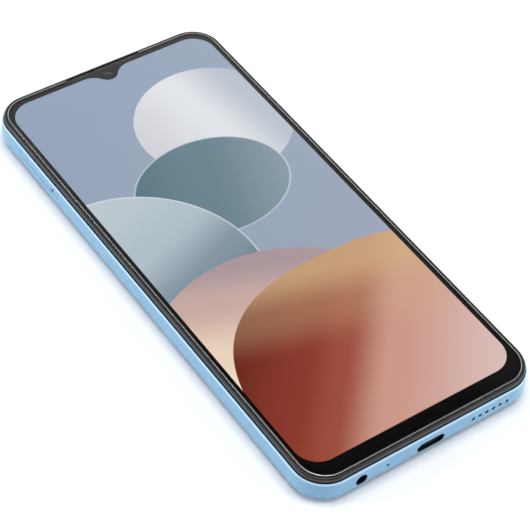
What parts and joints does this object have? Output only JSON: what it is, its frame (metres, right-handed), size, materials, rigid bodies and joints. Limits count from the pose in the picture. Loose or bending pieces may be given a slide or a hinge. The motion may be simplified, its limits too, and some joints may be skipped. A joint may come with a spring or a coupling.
{
  "type": "smartphone",
  "caption": "Touchscreen phone with a drop-shaped notch, black rim, light blue one-piece back, side keys, card tray, jack and USB-C port.",
  "frame": {"origin": "under the middle of the phone, level with the lowest point of the camera rings on its back", "axes": "+X to the right seen from the screen, +Y to the phone's top edge, +Z out of the screen"},
  "size_m": [0.0754, 0.1636, 0.0095],
  "materials": {
    "blue_housing": "satin coloured plastic, light blue",
    "black_rim": "satin dark grey",
    "cover_glass": "polished",
    "display_cell": "polished dark panel",
    "light_guide": "clear moulded",
    "steel": "pressed sheet",
    "gold": "gold-plated",
    "board": "solder-mask green",
    "chip": "moulded epoxy",
    "flex": "amber film",
    "battery_film": "dark foil",
    "graphite": "dark foil",
    "adhesive": "foam tape",
    "black_plastic": "moulded",
    "rubber": "soft",
    "camera_plate": "polished dark",
    "lens_glass": "coated lens",
    "flash_lens": "clear ribbed",
    "cable": "smooth jacket",
    "white_plastic": "moulded",
    "mesh": "fine woven wire"
  },
  "bodies": {
    "phone": {"rear_housing": "blue_housing", "camera_island": "camera_plate", "lens_windows": "lens_glass", "flash_window": "flash_lens", "mid_frame": "black_rim", "cover_glass": "cover_glass", "display_adhesive": "adhesive", "lcd_cell": "display_cell", "light_guide": "light_guide", "backlight_tray": "steel", "graphite_sheet": "graphite", "display_flex": "flex", "main_board": "board", "sub_board": "board", "shield_cans": "steel", "processor": "chip", "board_chips": "chip", "battery": "battery_film", "battery_flex": "flex", "link_flex": "flex", "coax_cable": "cable", "usb_c_shell": "steel", "usb_c_tongue": "black_plastic", "audio_jack": "black_plastic", "audio_jack_contacts": "gold", "microphone": "gold", "microphone_boot": "rubber", "speaker_box": "black_plastic", "speaker_lid": "black_plastic", "speaker_driver": "steel", "speaker_mesh": "mesh", "earpiece_receiver": "steel", "earpiece_mesh": "mesh", "light_sensor": "chip", "vibration_base": "black_plastic", "vibration_can": "steel", "front_camera": "black_plastic", "front_camera_lens": "lens_glass", "main_camera": "black_plastic", "wide_camera": "black_plastic", "macro_camera": "black_plastic", "flash_led": "white_plastic", "key_domes": "steel", "side_key_flex": "flex", "side_key_bracket": "steel", "card_reader_base": "black_plastic", "card_reader_shell": "steel", "upper_cover": "black_plastic", "lower_cover": "black_plastic", "screws": "steel"},
    "power_button": {"power_button": "blue_housing"},
    "volume_rocker": {"volume_rocker": "blue_housing"},
    "sim_tray": {"sim_tray": "blue_housing", "sim_tray_seal": "rubber", "sim_cards": "white_plastic", "memory_card": "black_plastic"},
    "eject_rod": {"eject_rod": "steel"},
    "eject_lever": {"eject_lever": "steel"},
    "vibration_rotor": {"vibration_rotor": "gold"},
    "focus_barrel": {"main_lens_barrel": "black_plastic"}
  },
  "joints": [
    {"name": "power_press", "type": "slide", "parent": "phone", "child": "power_button", "axis": [-1, 0, 0], "range_m": [0, 0.00025], "stiffness_N_per_m": 400},
    {"name": "volume_rock", "type": "hinge", "parent": "phone", "child": "volume_rocker", "pos_m": [0.03575, 0.042, 0.00505], "axis": [0, 0, 1], "range_deg": [-1.3, 1.3], "stiffness_Nm_per_rad": 0.03},
    {"name": "tray_slide", "type": "slide", "parent": "phone", "child": "sim_tray", "axis": [-1, 0, 0], "range_m": [0, 0.03]},
    {"name": "eject_push", "type": "slide", "parent": "phone", "child": "eject_rod", "axis": [1, 0, 0], "range_m": [0, 0.0012], "stiffness_N_per_m": 100},
    {"name": "eject_swing", "type": "hinge", "parent": "phone", "child": "eject_lever", "pos_m": [0.0036, 0.0543, 0.0058], "axis": [0, 0, 1], "range_deg": [-0.5, 9]},
    {"name": "vibration_spin", "type": "hinge", "parent": "phone", "child": "vibration_rotor", "pos_m": [-0.0289, -0.0606, 0.0038], "axis": [0, 0, 1], "continuous": true},
    {"name": "focus_slide", "type": "slide", "parent": "phone", "child": "focus_barrel", "axis": [0, 0, -1], "range_m": [0, 0.00025], "stiffness_N_per_m": 100}
  ],
  "couplings": [
    {"joint": "eject_swing", "follows": "eject_push", "rad_per_m": 120.48}
  ]
}
